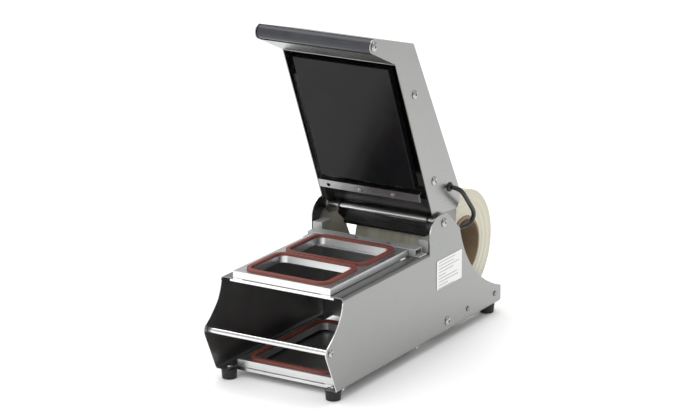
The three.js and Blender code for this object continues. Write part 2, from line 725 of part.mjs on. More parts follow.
function addLid() {
  place("lid_shell", lidShell(), steel, lid);
  for (const [word, side] of Object.entries(sides)) {
    place(`hinge_arm_${word}`, hingeArm(side), steel, lid);
    const bush = [side * (armOuter + gap), side * barHalfLength].sort((a, b) => a - b);
    place(`hinge_bush_${word}`, ringX(hingeY, hingeZ, 8, hingeRodRadius + runningGap, ...bush, 24), brightSteel);
    const handleScrew = turnedX(domedScrew(7, 2.6, lidScrewRadius, 12), side, lidHalfWidth + gap, handleY, handleZ);
    place(`handle_screw_${word}`, handleScrew, brightSteel, lid);
    lidScrews.forEach(([y, z], i) => {
      const screw = turnedX(domedScrew(6.2, 2.5, lidScrewRadius, 10), side, lidHalfWidth + gap, y, z);
      place(`lid_screw_${i === 0 ? "front" : "rear"}_${word}`, screw, brightSteel, lid);
    });
  }
  const grip = threadedBar(handleY, handleZ, handleRadius, lidInner - gap, lidScrewRadius + screwClear, 14, 28);
  place("handle_tube", grip, handlePlastic, lid);
  const hot = block(
    -plateHalfWidth, plateHalfWidth, plateFront, plateRear, plateFace, plateFace + plateThickness,
  );
  place("hot_plate", hot, coating, lid);
  place("plate_carrier", plateCarrier(), darkSteel, lid);
  place("clamp_bar", clampBar(), aluminium, lid);
  clampScrewX.forEach((x, i) => place(`clamp_screw_${i + 1}`, clampScrew(x), brightSteel, lid));
  const gland = [[0, 0], [7, 0], [7, glandHeight / 2], [5.6, glandHeight - 0.6], [4.4, glandHeight], [0, glandHeight]];
  place("lid_gland", turnedX(gland, 1, lidHalfWidth + gap, glandY, glandZ, 16), blackPlastic, lid);
}

// ---- controls on the lid's crown: drawn upright at the panel's slope -------------------------
function addControls() {
  const panel = new THREE.Group();
  panel.position.set(0, knobY, crownAtKnob);
  panel.rotation.x = crownTilt;
  lid.add(panel);
  const knob = [[0, -6], [3, -6], [3, gap], [15, gap], [15, 2.5], [12.5, 4], [11.5, 14], [10, 15.5], [0, 15.5]];
  const pointer = block(knobX - 1, knobX + 1, 4, 11, 15, 16.3);
  place("thermostat_knob", turnedZ(knob, knobX, 0, 0, 28).add(pointer), blackPlastic, panel);
  const rockerOutline = [[-6.7, -6], [6.7, -6], [7, 1.2], [6.6, 4.2], [0, 2.2], [-6.6, 1.4], [-7, 0.6]];
  const rocker = prismX(rockerOutline, rockerX - 6.5, rockerX + 6.5);
  place("power_rocker", rocker, redPlastic, panel);
}

addBase();
addDieRails();
addDies();
addFilmPath();
addWiring();
addLid();
addControls();

hinge.position.set(0, hingeY, hingeZ);
hinge.rotation.x = -openAngle;
hinge.add(lid);
machine.add(hinge);

const frontmost = frontBarY - bulgeRadius;
const rearmost = rollY + rollRadius;
machine.position.y = -(frontmost + rearmost) / 2;

const traySealer = new THREE.Group();
traySealer.add(machine);
export default traySealer;
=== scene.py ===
# Studio scene of a manual tray sealer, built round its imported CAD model. Metres, Z up.
import json
import math
import bpy
from mathutils import Matrix, Vector


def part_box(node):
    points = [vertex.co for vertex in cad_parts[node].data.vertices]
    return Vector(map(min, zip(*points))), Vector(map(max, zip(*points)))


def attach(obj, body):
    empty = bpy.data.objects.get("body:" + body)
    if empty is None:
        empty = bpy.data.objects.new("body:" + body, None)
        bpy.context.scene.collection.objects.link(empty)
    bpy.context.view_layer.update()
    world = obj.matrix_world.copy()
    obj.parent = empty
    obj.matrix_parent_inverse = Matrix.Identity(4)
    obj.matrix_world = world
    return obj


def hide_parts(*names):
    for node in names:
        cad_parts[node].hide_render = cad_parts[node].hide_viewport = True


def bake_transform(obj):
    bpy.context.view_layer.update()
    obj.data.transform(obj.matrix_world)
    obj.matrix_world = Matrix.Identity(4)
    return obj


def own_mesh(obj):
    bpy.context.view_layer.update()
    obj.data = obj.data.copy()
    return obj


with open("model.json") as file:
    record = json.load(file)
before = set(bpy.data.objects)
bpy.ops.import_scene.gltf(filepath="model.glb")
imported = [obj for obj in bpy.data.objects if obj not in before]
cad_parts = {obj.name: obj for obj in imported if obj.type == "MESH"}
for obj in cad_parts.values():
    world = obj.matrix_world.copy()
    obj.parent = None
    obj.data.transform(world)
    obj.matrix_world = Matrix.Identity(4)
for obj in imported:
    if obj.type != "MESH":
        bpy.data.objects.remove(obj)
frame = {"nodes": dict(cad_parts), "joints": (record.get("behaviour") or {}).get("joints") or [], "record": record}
nodes = frame["nodes"]
joints = {joint["name"]: joint for joint in frame["joints"]}
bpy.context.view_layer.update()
scene = bpy.context.scene
bodyOf = {node: body for body, members in frame["record"]["behaviour"]["bodies"].items() for node in members}
sides = {"left": -1, "right": 1}
mm = 0.001
print("frame loaded:", len(nodes), "nodes")


viewpoint = {
    "azimuth": math.radians(30.99),
    "elevation": math.radians(16.55),
    "distance": 4.145,
    "aim": Vector((-0.0244, 0.0319, 0.1886)),
    "lens": 147.2,
    "shift": (-0.0131, 0.0019),
}


def makeCamera():
    turn, tilt = viewpoint["azimuth"], viewpoint["elevation"]
    back = Vector((math.sin(turn) * math.cos(tilt), -math.cos(turn) * math.cos(tilt), math.sin(tilt)))
    bpy.ops.object.camera_add(location=viewpoint["aim"] + back * viewpoint["distance"])
    camera = bpy.context.object
    camera.name = "studioCamera"
    camera.rotation_mode = "QUATERNION"
    camera.rotation_quaternion = (-back).to_track_quat("-Z", "Y")
    camera.data.lens = viewpoint["lens"]
    camera.data.shift_x, camera.data.shift_y = viewpoint["shift"]
    camera.data.clip_end = 60
    scene.camera = camera


makeCamera()
print("camera placed")


def deselectAll():
    if bpy.context.mode != "OBJECT":
        bpy.ops.object.mode_set(mode="OBJECT")
    bpy.ops.object.select_all(action="DESELECT")


def focus(*pieces):
    deselectAll()
    for piece in pieces:
        piece.select_set(True)
    bpy.context.view_layer.objects.active = pieces[0]


def settle(piece):  # the piece's place goes into its mesh
    focus(piece)
    bpy.ops.object.transform_apply(location=True, rotation=True, scale=True)
    return piece


def applyModifier(piece, kind, **settings):
    focus(piece)
    modifier = piece.modifiers.new(kind.title(), kind)
    for name, value in settings.items():
        setattr(modifier, name, value)
    bpy.ops.object.modifier_apply(modifier=modifier.name)
    return piece


def bevelEdges(piece, width, segments=2, angle=32):
    return applyModifier(
        piece, "BEVEL", width=width, segments=segments, limit_method="ANGLE", angle_limit=math.radians(angle)
    )


def smooth(piece, angle=38):
    focus(piece)
    bpy.ops.object.shade_smooth_by_angle(angle=math.radians(angle))
    return piece


def selectFaces(piece, test):
    deselectAll()
    mesh = piece.data
    mesh.vertices.foreach_set("select", [False] * len(mesh.vertices))
    mesh.edges.foreach_set("select", [False] * len(mesh.edges))
    mesh.polygons.foreach_set("select", [bool(test(face)) for face in mesh.polygons])
    bpy.context.view_layer.objects.active = piece
    bpy.ops.object.mode_set(mode="EDIT")
    bpy.ops.mesh.select_mode(type="FACE")


def leaveEdit():
    bpy.ops.object.mode_set(mode="OBJECT")


def pushFaces(piece, test, inset, depth):  # a panel set in or raised
    selectFaces(piece, test)
    bpy.ops.mesh.inset(thickness=inset, depth=depth)
    leaveEdit()


def copyOf(piece, name):
    twin = bpy.data.objects.new(name, piece.data.copy())
    scene.collection.objects.link(twin)
    return twin


def joined(name, *pieces):
    focus(*pieces)
    bpy.ops.object.join()
    whole = bpy.context.object
    whole.name = whole.data.name = name
    return whole


def outwards(piece):
    focus(piece)
    bpy.ops.object.mode_set(mode="EDIT")
    bpy.ops.mesh.select_all(action="SELECT")
    bpy.ops.mesh.remove_doubles(threshold=1e-6)
    bpy.ops.mesh.normals_make_consistent(inside=False)
    leaveEdit()
    return piece


# A piece drawn up from a disc, or from a bare ring for a hollow one: each [radius, height] in millimetres
# is the next extrusion, and a hollow piece comes back to its first ring.
def turned(name, profile, segments=32, hollow=False):
    deselectAll()
    radius, height = profile[0]
    fill = "NOTHING" if hollow else "NGON"
    bpy.ops.mesh.primitive_circle_add(vertices=segments, radius=radius * mm, fill_type=fill)
    piece = bpy.context.object
    piece.name = piece.data.name = name
    bpy.ops.object.mode_set(mode="EDIT")
    bpy.ops.mesh.select_mode(type="EDGE" if hollow else "FACE")
    bpy.ops.mesh.select_all(action="SELECT")
    bpy.ops.transform.translate(value=(0, 0, height * mm))
    for nextRadius, nextHeight in profile[1:] + (profile[:1] if hollow else []):
        move = {"value": (0, 0, (nextHeight - height) * mm)}
        if hollow:
            bpy.ops.mesh.extrude_edges_move(TRANSFORM_OT_translate=move)
        else:
            bpy.ops.mesh.extrude_region_move(TRANSFORM_OT_translate=move)
        grow = nextRadius / radius
        bpy.ops.transform.resize(value=(grow, grow, 1), center_override=(0, 0, nextHeight * mm))
        radius, height = nextRadius, nextHeight
    leaveEdit()
    return outwards(piece)


def standAt(piece, x, y, z, side=0):  # side 1 or -1 lays the piece along +X or -X
    piece.rotation_euler = (0, side * math.pi / 2, 0)
    piece.location = (x, y, z)
    return settle(piece)


def dress(piece, node, material, *others):
    piece.data.materials.clear()
    piece.data.materials.append(material)
    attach(piece, bodyOf[node])
    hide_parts(node, *others)
    return piece


def addTo(piece, body, material):  # a piece that stands for no CAD node of its own
    piece.data.materials.clear()
    piece.data.materials.append(material)
    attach(piece, body)
    return piece


def middle(node):
    low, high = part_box(node)
    return (low + high) / 2


# The node's own shape with its triangles merged, its edges broken and its curves smooth.
def finishedCopy(node, material, edge=0.25, segments=2, angle=32):
    piece = copyOf(nodes[node], node + "Finished")
    focus(piece)
    bpy.ops.mesh.customdata_custom_splitnormals_clear()
    bpy.ops.object.mode_set(mode="EDIT")
    bpy.ops.mesh.select_all(action="SELECT")
    bpy.ops.mesh.remove_doubles(threshold=2e-6)
    bpy.ops.mesh.dissolve_limited(angle_limit=math.radians(0.4))
    leaveEdit()
    bevelEdges(piece, edge * mm, segments, angle)
    smooth(piece, 30)
    applyModifier(piece, "WEIGHTED_NORMAL", keep_sharp=True)
    return dress(piece, node, material)


def dressFaces(piece, material, test):  # some faces of a piece in a second finish
    piece.data.materials.append(material)
    for face in piece.data.polygons:
        if test(face):
            face.material_index = len(piece.data.materials) - 1


def addNode(tree, kind, inputs=None, **settings):
    node = tree.nodes.new(kind)
    for name, value in settings.items():
        setattr(node, name, value)
    for name, value in (inputs or {}).items():
        if isinstance(value, bpy.types.NodeSocket):
            tree.links.new(value, node.inputs[name])
        else:
            node.inputs[name].default_value = value
    return node


def startMaterial(name, **sockets):
    material = bpy.data.materials.new(name)
    material.use_nodes = True
    tree = material.node_tree
    shader = next(node for node in tree.nodes if node.type == "BSDF_PRINCIPLED")
    for socket, value in sockets.items():
        shader.inputs[socket.replace("_", " ")].default_value = value
    place = addNode(tree, "ShaderNodeTexCoord").outputs["Object"]
    return material, tree, shader, place


def grain(tree, place, scale, stretch=(1, 1, 1), turn=0.0, detail=4.0, roughness=0.6):
    turnedAndStretched = {"Vector": place, "Scale": stretch, "Rotation": (turn, 0, 0)}
    mapping = addNode(tree, "ShaderNodeMapping", turnedAndStretched)
    inputs = {"Vector": mapping.outputs["Vector"], "Scale": scale, "Detail": detail, "Roughness": roughness}
    return addNode(tree, "ShaderNodeTexNoise", inputs).outputs["Fac"]


def ranged(tree, value, low, high, source=(0.3, 0.7)):
    inputs = {"Value": value, "From Min": source[0], "From Max": source[1], "To Min": low, "To Max": high}
    return addNode(tree, "ShaderNodeMapRange", inputs).outputs["Result"]


def blended(tree, factor, first, second):
    ramp = addNode(tree, "ShaderNodeValToRGB", {"Fac": factor})
    ramp.color_ramp.elements[0].position, ramp.color_ramp.elements[0].color = 0.3, (*first, 1)
    ramp.color_ramp.elements[1].position, ramp.color_ramp.elements[1].color = 0.7, (*second, 1)
    return ramp.outputs["Color"]


def bumped(tree, shader, height, strength, distance):
    inputs = {"Height": height, "Strength": strength, "Distance": distance * mm}
    tree.links.new(addNode(tree, "ShaderNodeBump", inputs).outputs["Normal"], shader.inputs["Normal"])


# Sheet and bar metal: long fine brush marks, broad uneven patches, and a little wear in the gloss.
def brushedMetal(name, dark, light, rough, stretch=(1, 0.02, 1), turn=0.0, mark=0.025):
    material, tree, shader, place = startMaterial(name, Metallic=1.0)
    lines = grain(tree, place, 900, stretch, turn, 3)
    patches = grain(tree, place, 9, (1, 1, 1), turn, 5)
    colour = addNode(tree, "ShaderNodeMix", data_type="RGBA", blend_type="MULTIPLY")
    tree.links.new(blended(tree, patches, dark, light), colour.inputs["A"])
    tree.links.new(blended(tree, lines, (0.93, 0.93, 0.93), (1, 1, 1)), colour.inputs["B"])
    colour.inputs["Factor"].default_value = 0.8
    tree.links.new(colour.outputs["Result"], shader.inputs["Base Color"])
    uneven = addNode(tree, "ShaderNodeMath", {0: lines, 1: patches}, operation="MULTIPLY")
    gloss = ranged(tree, uneven.outputs[0], rough * 0.82, rough * 1.2, (0.1, 0.4))
    tree.links.new(gloss, shader.inputs["Roughness"])
    bumped(tree, shader, lines, mark, 0.05)
    return material


def moulded(name, dark, light, rough, pitch, mark, metallic=0.0, shine=0.5):
    material, tree, shader, place = startMaterial(name, Metallic=metallic, Specular_IOR_Level=shine)
    texture = grain(tree, place, pitch, detail=3)
    patches = grain(tree, place, 22, detail=4)
    tree.links.new(blended(tree, patches, dark, light), shader.inputs["Base Color"])
    tree.links.new(ranged(tree, patches, rough * 0.85, rough * 1.15), shader.inputs["Roughness"])
    bumped(tree, shader, texture, mark, 0.08)
    return material


# Film wound on its core: the flat ends show fine rings, the round face faint bands.
def woundFilm(name, centre):
    material, tree, shader, place = startMaterial(
        name, IOR=1.48, Coat_Weight=0.25, Coat_Roughness=0.12, Subsurface_Weight=0.12, Subsurface_Scale=0.01
    )
    offset = (0, -centre.y, -centre.z)
    flat = addNode(tree, "ShaderNodeMapping", {"Vector": place, "Location": offset, "Scale": (0, 1, 1)})
    distance = addNode(tree, "ShaderNodeVectorMath", {0: flat.outputs["Vector"]}, operation="LENGTH")
    reach = addNode(tree, "ShaderNodeCombineXYZ", {"X": distance.outputs["Value"]})
    ringNoise = {"Vector": reach.outputs["Vector"], "Scale": 1500.0, "Detail": 3.0}
    rings = addNode(tree, "ShaderNodeTexNoise", ringNoise)
    bands = grain(tree, place, 60, (1, 0.05, 0.05), detail=3)
    mixed = addNode(tree, "ShaderNodeMath", {0: rings.outputs["Fac"], 1: bands}, operation="ADD")
    shade = addNode(tree, "ShaderNodeMath", {0: mixed.outputs[0], 1: 0.5}, operation="MULTIPLY")
    tone = blended(tree, shade.outputs[0], (0.42, 0.39, 0.27), (0.72, 0.70, 0.57))
    tree.links.new(tone, shader.inputs["Base Color"])
    tree.links.new(ranged(tree, bands, 0.16, 0.34), shader.inputs["Roughness"])
    bumped(tree, shader, rings.outputs["Fac"], 0.25, 0.06)
    return material


def rubberCable(name):
    material, tree, shader, place = startMaterial(name)
    skin = grain(tree, place, 700, detail=2)
    dust = grain(tree, place, 35, detail=4)
    tone = blended(tree, dust, (0.006, 0.006, 0.006), (0.014, 0.014, 0.015))
    tree.links.new(tone, shader.inputs["Base Color"])
    tree.links.new(ranged(tree, dust, 0.38, 0.55), shader.inputs["Roughness"])
    bumped(tree, shader, skin, 0.08, 0.05)
    return material


# Label stock: blank grey bars where a real one has its wording.
def labelStock(name, low, high):
    material, tree, shader, place = startMaterial(name, Roughness=0.42, Coat_Weight=0.2)
    size = high - low
    corner = addNode(tree, "ShaderNodeMapping", {"Vector": place, "Location": tuple(-low)})
    share = addNode(tree, "ShaderNodeMapping", {"Vector": corner.outputs["Vector"]})
    share.inputs["Scale"].default_value = (1, 1 / size.y, 1 / size.z)
    parts = addNode(tree, "ShaderNodeSeparateXYZ", {"Vector": share.outputs["Vector"]})
    rows = addNode(tree, "ShaderNodeMath", {0: parts.outputs["Z"], 1: 9.0}, operation="MULTIPLY")
    within = addNode(tree, "ShaderNodeMath", {0: rows.outputs[0]}, operation="FRACT")
    bar = addNode(tree, "ShaderNodeMath", {0: within.outputs[0], 1: 0.38}, operation="LESS_THAN")
    start = addNode(tree, "ShaderNodeMath", {0: parts.outputs["Y"], 1: 0.08}, operation="GREATER_THAN")
    rowNumber = addNode(tree, "ShaderNodeMath", {0: rows.outputs[0]}, operation="FLOOR")
    ends = addNode(tree, "ShaderNodeTexWhiteNoise", {"W": rowNumber.outputs[0]}, noise_dimensions="1D")
    reach = ranged(tree, ends.outputs["Value"], 0.35, 0.92, (0, 1))
    stop = addNode(tree, "ShaderNodeMath", {0: parts.outputs["Y"], 1: reach}, operation="LESS_THAN")
    inRow = addNode(tree, "ShaderNodeMath", {0: bar.outputs[0], 1: start.outputs[0]}, operation="MULTIPLY")
    printed = addNode(tree, "ShaderNodeMath", {0: inRow.outputs[0], 1: stop.outputs[0]}, operation="MULTIPLY")
    paper = blended(tree, grain(tree, place, 160), (0.80, 0.80, 0.79), (0.86, 0.86, 0.85))
    colour = addNode(tree, "ShaderNodeMix", {"Factor": printed.outputs[0]}, data_type="RGBA")
    tree.links.new(paper, colour.inputs["A"])
    colour.inputs["B"].default_value = (0.5, 0.5, 0.51, 1)
    tree.links.new(colour.outputs["Result"], shader.inputs["Base Color"])
    return material


lidTilt = math.radians(68)
lengthwise = (0.02, 1, 1)  # brush marks along X, as on a bar or rail
sideSteel = brushedMetal("sideSteel", (0.33, 0.335, 0.325), (0.36, 0.365, 0.355), 0.32)
# darker, rougher steel for the shell's inside faces: painted shade
insideShadeSteel = brushedMetal("insideShadeSteel", (0.26, 0.26, 0.26), (0.34, 0.34, 0.34), 0.42)
# near-white steel for the shell's cut edges: painted highlight
cutEdgeHighlightSteel = brushedMetal("cutEdgeHighlightSteel", (0.82, 0.82, 0.82), (0.92, 0.92, 0.92), 0.3)
lidSteel = brushedMetal("lidSteel", (0.36, 0.365, 0.355), (0.40, 0.405, 0.395), 0.30, turn=lidTilt, mark=0.01)
armSteel = brushedMetal("armSteel", (0.24, 0.24, 0.235), (0.30, 0.30, 0.295), 0.34, turn=lidTilt)
barSteel = brushedMetal("barSteel", (0.80, 0.80, 0.80), (0.90, 0.90, 0.90), 0.14, lengthwise, mark=0.02)
screwSteel = moulded("screwSteel", (0.42, 0.42, 0.42), (0.56, 0.56, 0.56), 0.18, 500, 0.03, metallic=1.0)
# near-black steel for the plate carrier: painted shade
carrierShadeSteel = brushedMetal("carrierShadeSteel", (0.10, 0.10, 0.10), (0.15, 0.15, 0.15), 0.30, lengthwise, lidTilt)
# dark steel for the film guide and bushes, also laid on the ears' inner faces as painted shade
guideSteelAndEarShade = brushedMetal("guideSteelAndEarShade", (0.13, 0.13, 0.135), (0.18, 0.18, 0.185), 0.30, lengthwise)
dieAluminium = brushedMetal(
    "dieAluminium", (0.76, 0.77, 0.77), (0.84, 0.85, 0.85), 0.34, lengthwise, mark=0.01
)
clampAluminium = brushedMetal(
    "clampAluminium", (0.36, 0.36, 0.37), (0.44, 0.44, 0.45), 0.30, lengthwise, lidTilt
)
railAluminium = brushedMetal("railAluminium", (0.84, 0.85, 0.85), (0.92, 0.93, 0.93), 0.22, lengthwise)
mattAluminium = moulded(
    "mattAluminium", (0.40, 0.41, 0.40), (0.48, 0.49, 0.48), 0.5, 300, 0.04, metallic=0.55
)
plateCoating = moulded(
    "plateCoating", (0.004, 0.004, 0.005), (0.008, 0.008, 0.009), 0.22, 420, 0.02, shine=0.2
)
sealSilicone = moulded("sealSilicone", (0.155, 0.036, 0.026), (0.21, 0.055, 0.040), 0.48, 260, 0.08)
gripPlastic = moulded("gripPlastic", (0.020, 0.021, 0.028), (0.032, 0.033, 0.042), 0.38, 320, 0.12)
footRubber = moulded("footRubber", (0.006, 0.006, 0.006), (0.016, 0.016, 0.016), 0.62, 240, 0.2)
fittingPlastic = moulded("fittingPlastic", (0.008, 0.008, 0.008), (0.018, 0.018, 0.018), 0.42, 380, 0.1)
switchRed = moulded("switchRed", (0.36, 0.012, 0.008), (0.46, 0.022, 0.014), 0.25, 300, 0.03)
dialWhite = moulded("dialWhite", (0.72, 0.72, 0.70), (0.80, 0.80, 0.78), 0.4, 300, 0.03)
coreBoard = moulded("coreBoard", (0.20, 0.14, 0.09), (0.32, 0.23, 0.15), 0.85, 180, 0.3)
springSteel = moulded("springSteel", (0.42, 0.42, 0.42), (0.56, 0.56, 0.56), 0.25, 500, 0.03, metallic=1.0)
filmStock = woundFilm("filmStock", middle("film_roll"))
cableRubber = rubberCable("cableRubber")
labelPaper = labelStock("labelPaper", *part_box("rating_label"))
print("materials made")


cable = {
    "diameter": 0.0066,
    "steps": 8,
    "route": [
        (0.0973, 0.08996, 0.22853),
        (0.1030, 0.09108, 0.22750),
        (0.1079, 0.09478, 0.22410),
        (0.1094, 0.10068, 0.21860),
        (0.1088, 0.10868, 0.21120),
        (0.1072, 0.11968, 0.20150),
        (0.1053, 0.13168, 0.19100),
        (0.1032, 0.14218, 0.18150),
        (0.1012, 0.14698, 0.17150),
        (0.0984, 0.14368, 0.16280),
        (0.0950, 0.13468, 0.15900),
        (0.0908, 0.12068, 0.15800),
        (0.0874, 0.11108, 0.15420),
        (0.0860, 0.10718, 0.14550),
        (0.0860, 0.10718, 0.14280),
    ],
}


def smoothRoute(points, steps):
    points = [Vector(point) for point in points]
    ends = [2 * points[0] - points[1], *points, 2 * points[-1] - points[-2]]
    line = []
    for i in range(1, len(ends) - 2):
        before, start, end, after = ends[i - 1:i + 3]
        for step in range(steps):
            t = step / steps
            line.append(
                0.5 * (2 * start + (end - before) * t
                       + (2 * before - 5 * start + 4 * end - after) * t ** 2
                       + (3 * start - before - 3 * end + after) * t ** 3)
            )
    return line + [points[-1]]


def tubeAlong(name, line, radius, resolution=8):
    curve = bpy.data.curves.new(name, "CURVE")
    curve.dimensions = "3D"
    curve.bevel_depth = radius
    curve.bevel_resolution = resolution
    curve.use_fill_caps = True
    spline = curve.splines.new("POLY")
    spline.points.add(len(line) - 1)
    for point, place in zip(spline.points, line):
        point.co = (*place, 1)
    holder = bpy.data.objects.new(name, curve)
    scene.collection.objects.link(holder)
    focus(holder)
    bpy.ops.object.convert(target="MESH")
    return outwards(bpy.context.object)


def makeCable():
    line = smoothRoute(cable["route"], cable["steps"])
    piece = smooth(tubeAlong("linkCable", line, cable["diameter"] / 2), 60)
    piece.data.materials.clear()
    piece.data.materials.append(cableRubber)
    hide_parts("link_cable")
    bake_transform(piece)


makeCable()


metalwork = {
    "base_shell": (sideSteel, 0.3),
    "lid_shell": (lidSteel, 0.3),
    "hinge_arm_left": (armSteel, 0.3),
    "hinge_arm_right": (armSteel, 0.3),
    "film_guide": (guideSteelAndEarShade, 0.3),
    "plate_carrier": (carrierShadeSteel, 0.2),
    "clamp_bar": (clampAluminium, 0.3),
    "film_bar": (mattAluminium, 0.3),
    "side_rail_left": (mattAluminium, 0.3),
    "side_rail_right": (mattAluminium, 0.3),
    "front_die_rail": (railAluminium, 0.2),
    "rear_die_rail": (railAluminium, 0.2),
    "front_store_rail": (railAluminium, 0.2),
    "rear_store_rail": (railAluminium, 0.2),
    "upper_die": (dieAluminium, 0.4),
    "spare_die": (dieAluminium, 0.4),
    "hot_plate": (plateCoating, 1.0),
    "junction_box": (fittingPlastic, 1.2),
    "rating_label": (labelPaper, 0.05),
    "power_rocker": (switchRed, 0.7),
}
shell = {
    "deckTop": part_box("side_rail_left")[0].z - 0.3 * mm,
    "outer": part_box("base_shell")[1].x,
    "sheet": 1.5 * mm,
}


# The inside of the folded shell gets a darker, rougher steel as painted shade, and its cut edges a bright steel as
# a painted highlight.
def isPaintedShadeInside(face):
    reach, low = abs(face.center.x), face.center.z < shell["deckTop"] - 0.6 * shell["sheet"]
    upright = abs(face.normal.x) > 0.9 and reach > shell["outer"] - 1.5 * shell["sheet"]
    return reach < shell["outer"] - 0.7 * shell["sheet"] and (low or upright)


# the ears' inner faces get a darker steel as painted shade
def isShadedEarInside(face):  # the ears' inner faces, which look darker than the deck
    upright = abs(face.normal.x) > 0.9 and abs(face.center.x) < shell["outer"] - 0.7 * shell["sheet"]
    return upright and face.center.z > shell["deckTop"]


def isHighlightedCutEdge(face):
    return abs(face.normal.x) < 0.3 and abs(face.center.x) > shell["outer"] - shell["sheet"]


for node, (material, edge) in metalwork.items():
    piece = finishedCopy(node, material, edge, 3 if edge > 0.5 else 2)
    if node == "base_shell":
        # painted shade on the shell's inside faces
        dressFaces(piece, insideShadeSteel, isPaintedShadeInside)
        # painted shade on the ears' inner faces
        dressFaces(piece, guideSteelAndEarShade, isShadedEarInside)
        # painted highlight on the shell's cut edges
        dressFaces(piece, cutEdgeHighlightSteel, isHighlightedCutEdge)
for node in ("upper_gasket_front", "upper_gasket_rear", "spare_gasket"):
    finishedCopy(node, sealSilicone, 1.3, 4)
print("metalwork finished")


bars = {
    "front_bar": (barSteel, 0.6),
    "hinge_rod": (barSteel, 0.6),
    "tie_bar": (armSteel, 0.6),
    "handle_tube": (gripPlastic, 1.2),
}


def makeBar(node, material, edge):
    low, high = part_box(node)
    radius, half = (high.z - low.z) / 2 / mm, (high.x - low.x) / 2 / mm
    profile = [[radius - edge, -half], [radius, edge - half], [radius, half - edge], [radius - edge, half]]
    piece = turned(node + "Turned", profile, 64)
    standAt(piece, 0, middle(node).y, middle(node).z, 1)
    dress(smooth(piece), node, material)


for node, (material, edge) in bars.items():
    makeBar(node, material, edge)


roller = {"stub": 4.0, "stubLength": 4.9}


def makeRollers():
    for end in ("front", "rear"):
        node = "support_roller_" + end
        low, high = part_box(node)
        radius, half = (high.z - low.z) / 2 / mm, (high.x - low.x) / 2 / mm
        stub, body = roller["stub"], half - roller["stubLength"]
        profile = [
            [stub - 0.6, -half], [stub, 0.6 - half], [stub, -body], [radius - 0.5, -body],
            [radius, 0.5 - body],
        ]
        profile += [[r, -h] for r, h in reversed(profile)]
        piece = turned(node + "Turned", profile, 48)
        standAt(piece, 0, middle(node).y, middle(node).z, 1)
        dress(smooth(piece), node, armSteel)


makeRollers()

# Button-head screws with a hexagon socket: head radius, head height, shank radius, shank length.
screws = {
    "front_bar_screw": (5.6, 2.4, 2.1, 12),
    "hinge_screw": (6.6, 2.8, 2.5, 12),
    "tie_screw": (6.6, 2.8, 2.5, 12),
    "handle_screw": (7.0, 2.6, 2.1, 12),
    "lid_screw_front": (6.2, 2.5, 2.1, 10),
    "lid_screw_rear": (6.2, 2.5, 2.1, 10),
}


def buttonScrew(name, headRadius, headHeight, shankRadius, shankLength):
    dome = [math.radians(angle) for angle in (12, 28, 45, 62, 76)]
    profile = [[shankRadius - 0.4, -shankLength], [shankRadius, 0.4 - shankLength], [shankRadius, 0]]
    profile += [[headRadius - 0.3, 0], [headRadius, 0.3]]
    profile += [[headRadius * math.cos(a), 0.3 + (headHeight - 0.3) * math.sin(a)] for a in dome]
    screw = turned(name, profile, 36)
    deselectAll()
    socket = headHeight * 0.62
    bpy.ops.mesh.primitive_cylinder_add(
        vertices=6, radius=headRadius * 0.36 * mm, depth=2 * socket * mm, location=(0, 0, headHeight * mm)
    )
    key = bpy.context.object
    applyModifier(screw, "BOOLEAN", object=key, operation="DIFFERENCE", solver="EXACT")
    bpy.data.objects.remove(key)
    return smooth(outwards(screw), 34)


def makeScrews():
    masters = {}
    for kind, size in screws.items():
        for word, side in sides.items():
            node = kind + "_" + word
            low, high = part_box(node)
            seat = (high.x if side > 0 else low.x) - side * size[1] * mm
            if size not in masters:
                masters[size] = buttonScrew("screwMaster", *size)
            piece = copyOf(masters[size], node + "Head")
            smooth(piece, 34)
            standAt(piece, seat, middle(node).y, middle(node).z, side)
            dress(piece, node, screwSteel)
    for master in masters.values():
        bpy.data.objects.remove(master)


makeScrews()

foot = {"top": 11.5, "bottom": 10.5, "height": 14.5, "round": 1.2, "recess": 5.0, "hole": 2.4}
footScrew = {
    "profile": [[1.7, -11], [2, -10.7], [2, 0], [4.1, 0], [4.2, 0.4], [4, 1.4], [3.2, 2.3], [1.8, 2.7]],
    "headHeight": 2.7,
    "socketDepth": 1.2,
}


def makeFeet():
    top, bottom, height, turn = foot["top"], foot["bottom"], foot["height"], foot["round"]
    hole = foot["hole"]
    profile = [
        [bottom - turn, 0], [bottom - 0.3 * turn, 0.35 * turn], [bottom, turn], [top - 0.35, height - 3],
        [top, height - 2.6], [top, height - 0.5], [top - 0.5, height], [hole, height], [hole, 4.2],
        [foot["recess"], 4], [foot["recess"], 0],
    ]
    master = turned("footMaster", profile, 40, hollow=True)
    for end in ("front", "rear"):
        for word in sides:
            node = f"foot_{end}_{word}"
            piece = smooth(copyOf(master, node + "Moulded"), 34)
            standAt(piece, middle(node).x, middle(node).y, 0)
            dress(piece, node, footRubber)
    bpy.data.objects.remove(master)
    master = turned("footScrewMaster", footScrew["profile"], 32)
    selectFaces(master, lambda face: face.normal.z > 0.99 and face.center.z > 2 * mm)
    bpy.ops.mesh.inset(thickness=0.5 * mm)
    sink = (0, 0, -footScrew["socketDepth"] * mm)
    bpy.ops.mesh.extrude_region_move(TRANSFORM_OT_translate={"value": sink})
    leaveEdit()
    for end in ("front", "rear"):
        for word in sides:
            node = f"foot_screw_{end}_{word}"
            piece = smooth(copyOf(master, node + "Head"), 34)
            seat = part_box(node)[1].z - footScrew["headHeight"] * mm
            standAt(piece, middle(node).x, middle(node).y, seat)
            dress(piece, node, screwSteel)
    bpy.data.objects.remove(master)


makeFeet()


bushBore = 4.9


